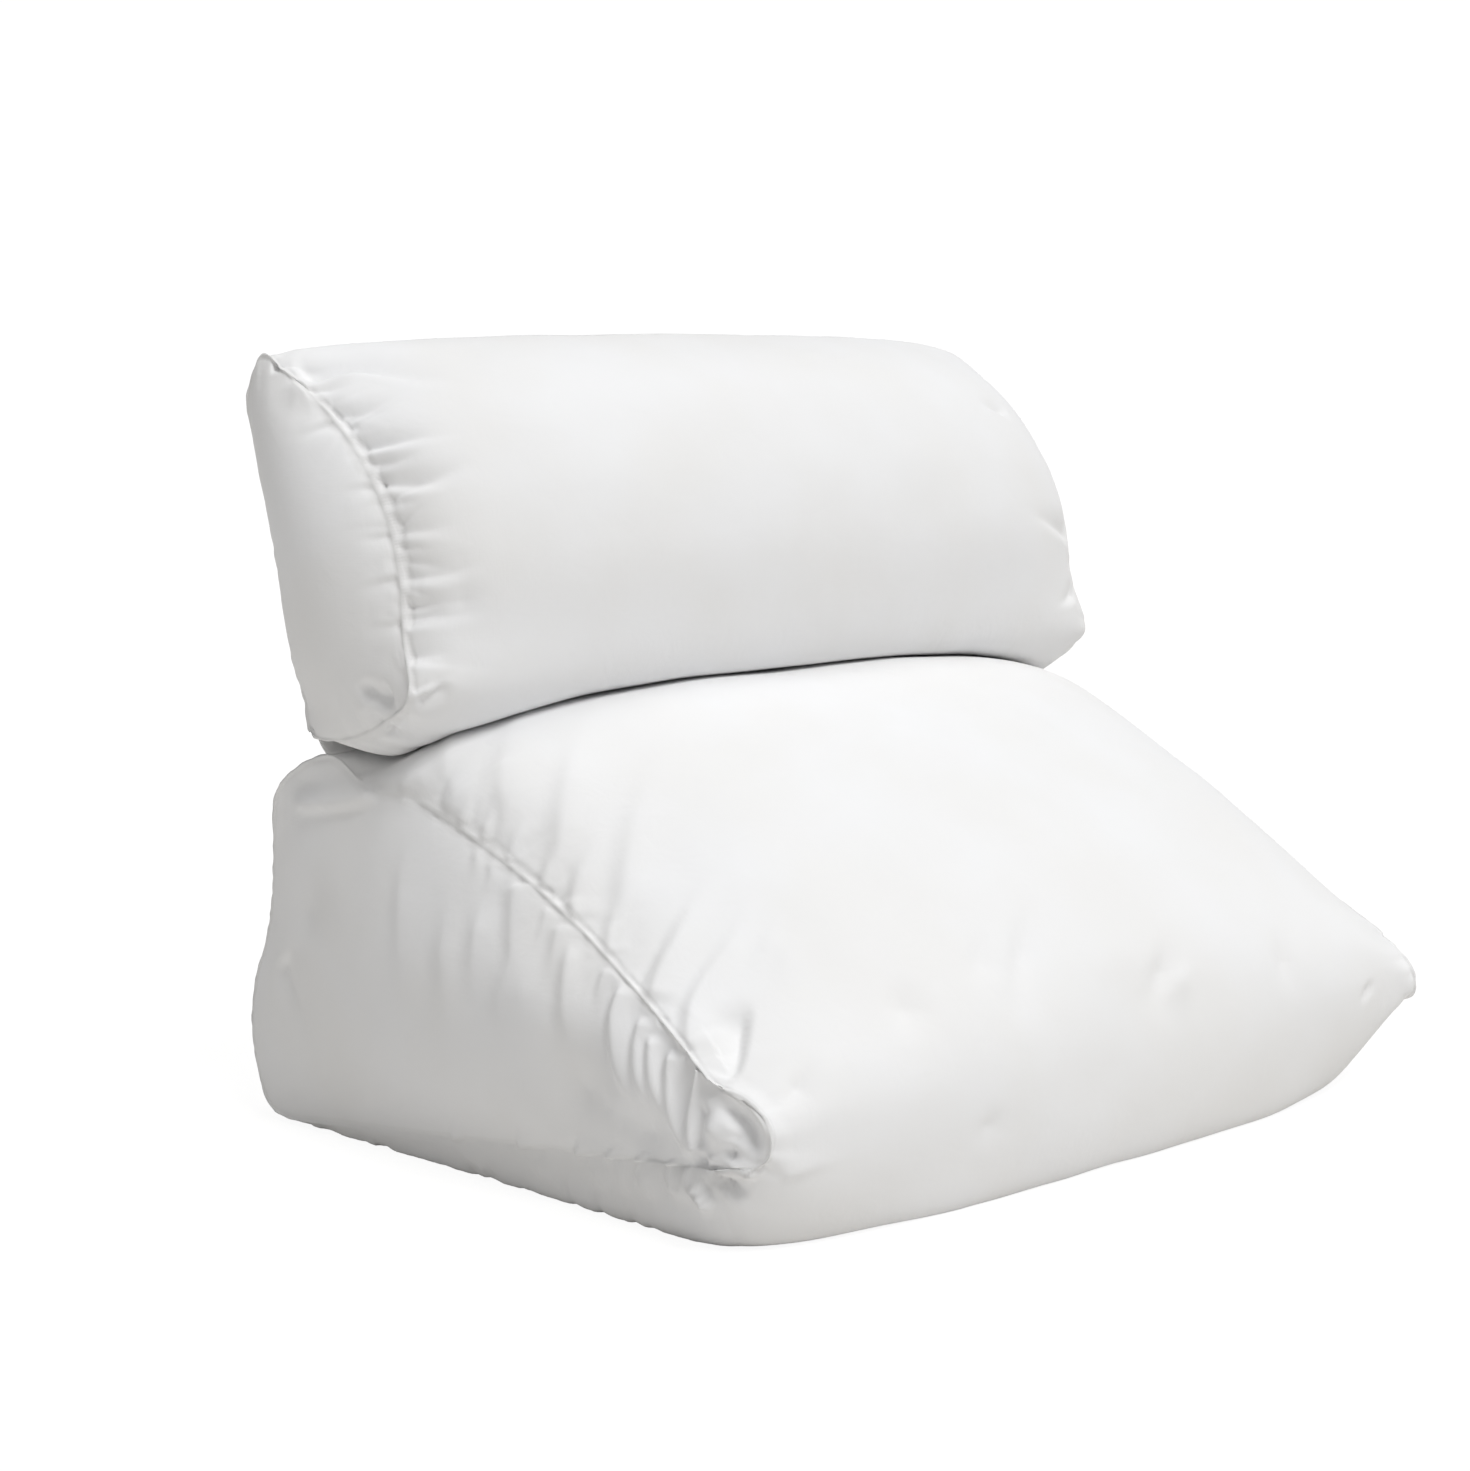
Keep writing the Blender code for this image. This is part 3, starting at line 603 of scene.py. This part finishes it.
class Wire:
    """One output in a material's nodes. Arithmetic written with it adds Math nodes."""

    def __init__(self, tree, socket=None):
        self.tree, self.socket = tree, socket

    def node(self, kind, settings=None, inputs=None, output=0):
        made = self.tree.nodes.new(kind)
        for name, value in (settings or {}).items():
            setattr(made, name, value)
        for name, value in (inputs or {}).items():
            if isinstance(value, Wire):
                self.tree.links.new(value.socket, made.inputs[name])
            else:
                made.inputs[name].default_value = value
        return Wire(self.tree, made.outputs[output])

    def math(self, operation, first, second=0.0):
        return self.node("ShaderNodeMath", {"operation": operation}, {0: first, 1: second})

    def __add__(self, other):
        return self.math("ADD", self, other)

    def __mul__(self, other):
        return self.math("MULTIPLY", self, other)

    def __sub__(self, other):
        return self.math("SUBTRACT", self, other)

    def __rsub__(self, other):
        return self.math("SUBTRACT", other, self)

    __radd__, __rmul__ = __add__, __mul__


def cotton_cloth(name, light, warm, sewn):
    """Closely woven white cotton: two sets of threads, a thicker yarn here and there, and the
    soft crinkles of washed cloth. Next to a sewn seam, the stitches draw it into dimples, and
    the colour there is darkened as painted shade in the seam's crease."""
    thread_pitch, stitch_pitch = 0.0007, 0.0024
    made = bpy.data.materials.new(name)
    made.use_nodes = True
    surface = made.node_tree.nodes["Principled BSDF"]
    wire = Wire(made.node_tree)
    place = wire.node("ShaderNodeTexCoord", output="Object")
    flat = wire.node("ShaderNodeTexCoord", output="UV")
    across = wire.node("ShaderNodeSeparateXYZ", inputs={0: flat}, output="X")
    along = wire.node("ShaderNodeSeparateXYZ", inputs={0: flat}, output="Y")
    turns = 2 * math.pi / thread_pitch
    weave = wire.math("SINE", across * turns) * wire.math("SINE", along * turns)

    def yarns(stretch):
        at = wire.node("ShaderNodeVectorMath", {"operation": "MULTIPLY"}, {0: flat, 1: stretch})
        return wire.node("ShaderNodeTexNoise", inputs={"Vector": at, "Scale": 1.0, "Detail": 1.0})

    def clouds(scale, detail, distortion=0.0):
        return wire.node("ShaderNodeTexNoise", inputs={
            "Vector": place, "Scale": scale, "Detail": detail, "Distortion": distortion,
        })

    slubs = yarns((900.0, 35.0, 1.0)) + yarns((35.0, 900.0, 1.0))
    threads = 0.4 * weave + slubs
    crinkles = clouds(42.0, 4.0, 0.5)
    soft = clouds(9.0, 2.0)
    tint = wire.node("ShaderNodeMapRange", inputs={
        "Value": soft, "From Min": 0.35, "From Max": 0.65, "To Min": 0.0, "To Max": 1.0,
    })
    tone = wire.node(
        "ShaderNodeMix", {"data_type": "RGBA"}, {0: tint * 0.7 + slubs * 0.15, 6: light, 7: warm}, 2
    )
    height = crinkles
    if sewn:
        gap = wire.node("ShaderNodeAttribute", {"attribute_name": "from_seam"}, output="Fac")
        panel = wire.node("ShaderNodeAttribute", {"attribute_name": "on_panel"}, output="Fac")
        # Nearness to the seam: it shapes the stitch dimples and the painted shade in the seam's crease.
        beside = wire.node("ShaderNodeMapRange", inputs={
            "Value": gap, "From Min": 0.0008, "From Max": 0.004, "To Min": 1.0, "To Max": 0.0,
        })
        dimples = wire.math("SINE", across * (2 * math.pi / stitch_pitch)) * beside * panel
        height = height + 0.05 * dimples
        # Painted shade: beside the seam the colour is pulled towards a dimmer warm tone, standing in for the
        # shade in the crease.
        tone = wire.node(
            "ShaderNodeMix", {"data_type": "RGBA"},
            {0: beside * 0.6, 6: tone, 7: tuple(0.93 * part for part in warm[:3]) + (1,)}, 2,
        )
    fine = wire.node("ShaderNodeBump", inputs={
        "Height": threads, "Strength": 0.3, "Distance": 0.0001,
    })
    bumps = wire.node("ShaderNodeBump", inputs={
        "Height": height, "Strength": 0.35, "Distance": 0.0016, "Normal": fine,
    })
    roughness = 0.74 + 0.14 * soft
    for socket, value in (("Base Color", tone), ("Roughness", roughness), ("Normal", bumps)):
        made.node_tree.links.new(value.socket, surface.inputs[socket])
    surface.inputs["Specular IOR Level"].default_value = 0.25
    surface.inputs["Sheen Weight"].default_value = 0.10
    surface.inputs["Sheen Roughness"].default_value = 0.45
    return made


white_cotton = cotton_cloth("white_cotton", (0.876, 0.88, 0.89, 1), (0.85, 0.847, 0.842, 1), sewn=True)
cover = Cover(
    WEDGE_SECTION, steps=(48, 16, 48, 16), crowding=0.35,
    drawn_in=(0.005, 0.007, 0.017, 0.012), bulge=0.042, right_lift=2.3,
)
wedge = cover.as_object("wedge_cover")
# The section is laid out round its own middle, and the finished part stands on the frame's.
low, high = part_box("wedge_cushion")
shift = Vector((0.0, (low.y + high.y) / 2 - sum(c[1] for c in wedge.bound_box) / 8, 0.0))
points = points_of(wedge) + np.array(shift)
soft = points[:, 2] < FLOOR_EASE
points[soft, 2] = np.maximum(points[soft, 2] + FLOOR_EASE, 0.0) ** 2 / (4 * FLOOR_EASE)
put_points(wedge, points)
sewn, on_floor = reading(wedge, "from_seam") < 1e-5, points[:, 2] < 0.0005
blow_out(wedge, sewn | on_floor, pressure=2.5, most=0.012, slack=0.05, evened=3)
refine(wedge)
rng = np.random.default_rng(11)
fold_in(
    wedge,
    at_the_seam(cover, side=2, drawn_share=0, folds=WEDGE_FOLDS)
    + gathers(cover, -1, pitch=0.020, depth=0.0014, length=0.034, rng=rng)
    + gathers(cover, 1, pitch=0.018, depth=0.0016, length=0.030, rng=rng),
)
sew(wedge, height=1.1, pucker=0.6)
crumple(wedge, height=0.0016, size=0.07, seed=3.0)
points = points_of(wedge)
points[:, 2] = np.maximum(points[:, 2], 0.0)
put_points(wedge, points)
wedge.data.materials.append(white_cotton)
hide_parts("wedge_cushion")
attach(wedge, "root")


# The bolster cushion: one wrapping panel and two gussets of the same cotton, narrow at the
# top, sewn and stuffed as the wedge is. It stands on the wedge's crown, and the cloth is
# gathered along its end seams.
BOLSTER_SECTION = (
    (True, 0.080, 0.317, 0.050, 0.316, 0.55),
    (False, 0.102, 0.303, 0.086, 0.274, 0.45),
    (False, 0.147, 0.284, 0.140, 0.254, 0.45),
    (True, 0.190, 0.282, 0.191, 0.290, 0.60),
    (False, 0.199, 0.304, 0.214, 0.306, 0.65),
    (False, 0.217, 0.334, 0.238, 0.336, 0.65),
    (False, 0.229, 0.378, 0.268, 0.385, 0.60),
    (False, 0.238, 0.425, 0.281, 0.440, 0.60),
    (False, 0.251, 0.468, 0.279, 0.490, 0.60),
    (True, 0.259, 0.514, 0.260, 0.528, 0.75),
    (False, 0.246, 0.543, 0.218, 0.556, 0.85),
    (True, 0.221, 0.536, 0.166, 0.555, 0.80),
    (False, 0.160, 0.491, 0.092, 0.524, 0.72),
    (False, 0.122, 0.444, 0.052, 0.475, 0.62),
    (False, 0.103, 0.401, 0.033, 0.418, 0.60),
    (False, 0.093, 0.355, 0.034, 0.365, 0.65),
)
# The bolster lies this far off the wedge, and only what is lower than this can touch it.
REST_GAP, REST_BELOW = 0.0012, 0.34
BOLSTER_FOLDS = (
    # Gathers along the front seam of the left end, from the top down
    ("front", 4.9, 5.8, 13.8, 1, 0, (-350, 536), (-336, 538), (-322, 539)),
    ("front", 11.1, 7.7, 25.5, 0.9, 0.1,
     (-348, 527), (-333, 533), (-312, 537), (-301, 535), (-290, 531), (-275, 527), (-260, 522)),
    ("front", 3.9, 5.8, 15.7, 1, 0, (-347, 518), (-336, 522), (-322, 526)),
    ("front", 4.3, 5.8, 13.8, 1, 0, (-348, 502), (-337, 506), (-324, 508)),
    ("front", 2.3, 4.8, 7.8, 1, 0, (-346, 494), (-338, 494)),
    ("front", 5.4, 5.8, 17.7, 1, 0, (-347, 480), (-331, 487), (-314, 491), (-302, 493)),
    ("front", 3.9, 4.8, 9.9, 1, 0, (-347, 470), (-338, 474), (-324, 480)),
    ("front", 6.1, 5.8, 17.7, 1, 0, (-348, 457), (-332, 459), (-321, 462), (-304, 468), (-288, 472)),
    ("front", 2.6, 4.8, 7.8, 1, 0, (-345, 443), (-335, 448)),
    ("front", 4.6, 5.8, 15.7, 1, 0, (-345, 425), (-334, 429), (-318, 433)),
    ("front", 2.9, 4.8, 7.8, 1, 0, (-345, 416), (-334, 415)),
    ("front", 5.8, 5.8, 17.7, 1, 0, (-344, 395), (-332, 399), (-321, 403), (-300, 412)),
    ("front", 2.9, 4.8, 7.8, 1, 0, (-344, 377), (-333, 378)),
    ("front", 4.9, 5.8, 15.7, 1, 0, (-345, 369), (-331, 371), (-312, 374), (-294, 378)),
    ("front", 2.2, 9.6, 19.6, 0.2, 0, (-331, 379), (-306, 380)),
    ("front", 5.4, 5.8, 13.8, 1, 0, (-347, 344), (-338, 346), (-328, 347), (-320, 347)),
    # The dents on both sides of the bottom corner, and what shows on the gusset
    ("left", 7.5, 6, 11, 0.7, 0.8, (119, 326), (110, 317), (99, 314), (88, 318)),
    ("front", 5.0, 11, 6, 0.8, 0.6, (-348, 319), (-341, 316), (-334, 320), (-327, 329)),
    ("left", -2.6, 6, 9, 0.6, 0.2, (100, 318), (116, 308), (134, 298)),
    ("left", -5.1, 15, 15, 1, 1, (187, 520)),
    ("left", 2.8, 3.6, 8.1, 1, 0, (158, 500), (168, 492), (180, 486)),
    ("left", 2.2, 3.6, 8.1, 1, 0, (117, 457), (124, 455), (140, 451)),
    ("left", 2.2, 3.6, 8.1, 1, 0, (102, 423), (110, 422), (124, 420)),
    ("left", 2.2, 3.6, 8.1, 1, 0, (94, 395), (104, 391), (120, 386)),
    ("left", 1.9, 3.6, 8.1, 1, 0, (87, 365), (98, 363), (112, 362)),
    # The right end, where the gathers notch the outline
    ("front", 5, 4.8, 10.8, 0.2, 1, (225, 505), (245, 501), (262, 495)),
    ("front", 4, 6, 12.2, 0.2, 0.9, (235, 419), (270, 411), (300, 402), (322, 395)),
    ("front", 3.4, 4.8, 9.5, 0.2, 0.9, (280, 343), (300, 345), (324, 350)),
)

cover = Cover(
    BOLSTER_SECTION, steps=(12, 44, 12, 44), crowding=0.0,
    drawn_in=(0.006, 0.007, 0.004, 0.014), bulge=0.036,
)
bolster = cover.as_object("bolster_cover")


def rest_on_wedge(points):
    """Lifts what would sink into the wedge until it lies on it, and says which points do."""
    resting = np.zeros(len(points), bool)
    for index in np.nonzero(points[:, 2] < REST_BELOW)[0]:
        x, y, z = points[index]
        hit = wedge_surface.ray_cast(Vector((x, y, 1.0)), Vector((0, 0, -1)))[0]
        if hit is not None and z < hit.z + REST_GAP:
            points[index, 2] = hit.z + REST_GAP
            resting[index] = True
    return resting


wedge_surface = surface_of(wedge)
points = points_of(bolster) + np.array(shift)
resting = rest_on_wedge(points)
put_points(bolster, points)
sewn = reading(bolster, "from_seam") < 1e-5
blow_out(bolster, sewn | resting, pressure=2.5, most=0.010, slack=0.015, evened=160)
refine(bolster)
fold_in(
    bolster,
    at_the_seam(cover, side=3, drawn_share=1, folds=BOLSTER_FOLDS)
    + gathers(cover, -1, pitch=0.013, depth=0.0021, length=0.045, rng=rng)
    + gathers(cover, 1, pitch=0.016, depth=0.0016, length=0.030, rng=rng),
)
sew(bolster, height=1.1, pucker=0.45)
crumple(bolster, height=0.0012, size=0.06, seed=5.0)
points = points_of(bolster)
rest_on_wedge(points)
put_points(bolster, points)

bolster.data.materials.append(white_cotton)
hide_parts("bolster_cushion")
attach(bolster, "root")


# The hinge: a strip of the same cotton, sewn to the ridge at the back of the wedge and to the
# bolster's lower back edge. It is slightly longer than the gap, so it puckers between them.
HINGE_HALF, HINGE_COLUMNS, HINGE_ROWS = 0.342, 220, 8
HINGE_CUT, HINGE_CLOTH = (0.684, 0.024), 0.0008
FOOT_SEAM, HEAD_SEAM = (0.171, 0.272), (0.189, 0.287)
TUCK, SLACK, PUCKER, CRINKLE = 0.001, 0.0035, 0.0022, 0.0008
BELLIES = Vector((0.0, 0.75, -0.25))
bolster_surface = surface_of(bolster)
hinge_points, hinge_uvs = [], []
for column in range(HINGE_COLUMNS + 1):
    x = HINGE_HALF * (2 * column / HINGE_COLUMNS - 1)
    foot = wedge_surface.find_nearest(Vector((x, *FOOT_SEAM)))[0] - Vector((0, 0, TUCK))
    head = bolster_surface.find_nearest(Vector((x, *HEAD_SEAM)))[0]
    wide = noise.noise(Vector((x * 95, 1.7, 0.0)))
    narrow = noise.noise(Vector((x * 260, 4.1, 0.0)))
    loose = SLACK + PUCKER * wide + CRINKLE * narrow
    for row in range(HINGE_ROWS + 1):
        up = row / HINGE_ROWS
        outward = BELLIES * loose * math.sin(math.pi * up)
        hinge_points.append(foot.lerp(head, up) + outward)
        hinge_uvs.append((x, up * HINGE_CUT[1]))
across = HINGE_ROWS + 1
hinge_faces = [
    (a, a + across, a + across + 1, a + 1)
    for a in (column * across + row for column in range(HINGE_COLUMNS) for row in range(HINGE_ROWS))
]
hinge_mesh = bpy.data.meshes.new("hinge_cloth")
hinge_mesh.from_pydata(hinge_points, [], hinge_faces)
layer = hinge_mesh.uv_layers.new(name="UVMap")
corners = [hinge_uvs[index] for four in hinge_faces for index in four]
layer.data.foreach_set("uv", np.array(corners, np.float32).ravel())
hinge = bpy.data.objects.new("hinge_cloth", hinge_mesh)
bpy.context.scene.collection.objects.link(hinge)
thickness = hinge.modifiers.new("Thickness", "SOLIDIFY")
thickness.thickness, thickness.offset = HINGE_CLOTH, 0.0
apply_modifier(hinge, thickness)
hinge_mesh.shade_smooth()
hinge_mesh.materials.append(
    cotton_cloth("hinge_cotton", (0.87, 0.87, 0.875, 1), (0.84, 0.835, 0.825, 1), sewn=False)
)
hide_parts("hinge_strip")
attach(hinge, "root")


# The studio: a wide white floor that the camera sees nearly shadowless, as in a catalogue
# picture, while the cushion takes only its real bounce of light from it.
floor_mesh = bpy.data.meshes.new("floor")
floor_mesh.from_pydata([(-6, -6, 0), (6, -6, 0), (6, 6, 0), (-6, 6, 0)], [], [(0, 1, 2, 3)])
floor = bpy.data.objects.new("floor", floor_mesh)
bpy.context.scene.collection.objects.link(floor)
paper = bpy.data.materials.new("floor_white")
paper.use_nodes = True
matt = paper.node_tree.nodes["Principled BSDF"]
matt.inputs["Base Color"].default_value = (0.80, 0.785, 0.76, 1)
matt.inputs["Roughness"].default_value = 1.0
wire = Wire(paper.node_tree)
looked_at = wire.node("ShaderNodeLightPath", output="Is Camera Ray")
lit = wire.node("ShaderNodeEmission", inputs={"Color": (1, 1, 1, 1), "Strength": 1.12})
paint = wire.node("ShaderNodeMixShader", inputs={
    0: looked_at * 0.82, 1: Wire(paper.node_tree, matt.outputs[0]), 2: lit,
})
paper.node_tree.links.new(paint.socket, paper.node_tree.nodes["Material Output"].inputs["Surface"])
floor_mesh.materials.append(paper)

world = bpy.data.worlds.new("studio")
bpy.context.scene.world = world
world.use_nodes = True
air = world.node_tree.nodes["Background"]
air.inputs["Color"].default_value = (1, 1, 1, 1)
wire = Wire(world.node_tree)
looked_at = wire.node("ShaderNodeLightPath", output="Is Camera Ray")
world.node_tree.links.new((0.31 + 0.74 * looked_at).socket, air.inputs["Strength"])
bpy.context.scene.view_settings.view_transform = "Standard"

# The camera stands where the photograph was taken from. Two broad lights, one high on the right
# and one almost overhead from behind, give the soft shading down the front and the ends. Each
# is given by its angles aside from the camera and up, its strength and its spread.
turn, tilt = math.radians(43.73), math.radians(7.42)
view = Vector((math.sin(turn) * math.cos(tilt), math.cos(turn) * math.cos(tilt), -math.sin(tilt)))
right = Vector((math.cos(turn), -math.sin(turn), 0.0))
for name, aside, up, strength, spread in (("key", 44, 58, 1.70, 25), ("back", 140, 76, 0.76, 30)):
    lamp = bpy.data.objects.new(name, bpy.data.lights.new(name, "SUN"))
    lamp.data.energy, lamp.data.angle = strength, math.radians(spread)
    aside, up = math.radians(aside), math.radians(up)
    toward = Vector((-math.sin(turn), -math.cos(turn), 0.0))
    level = toward * math.cos(aside) + right * math.sin(aside)
    source = level * math.cos(up) + Vector((0, 0, math.sin(up)))
    lamp.rotation_euler = (-source).to_track_quat("-Z", "Y").to_euler()
    bpy.context.scene.collection.objects.link(lamp)
camera = bpy.data.objects.new("camera", bpy.data.cameras.new("camera"))
camera.data.lens = 74.2
placed = Matrix((right, right.cross(view), -view)).transposed().to_4x4()
placed.translation = Vector((-1.575, -1.515, 0.553)) + shift
camera.matrix_world = placed
bpy.context.scene.collection.objects.link(camera)
bpy.context.scene.camera = camera
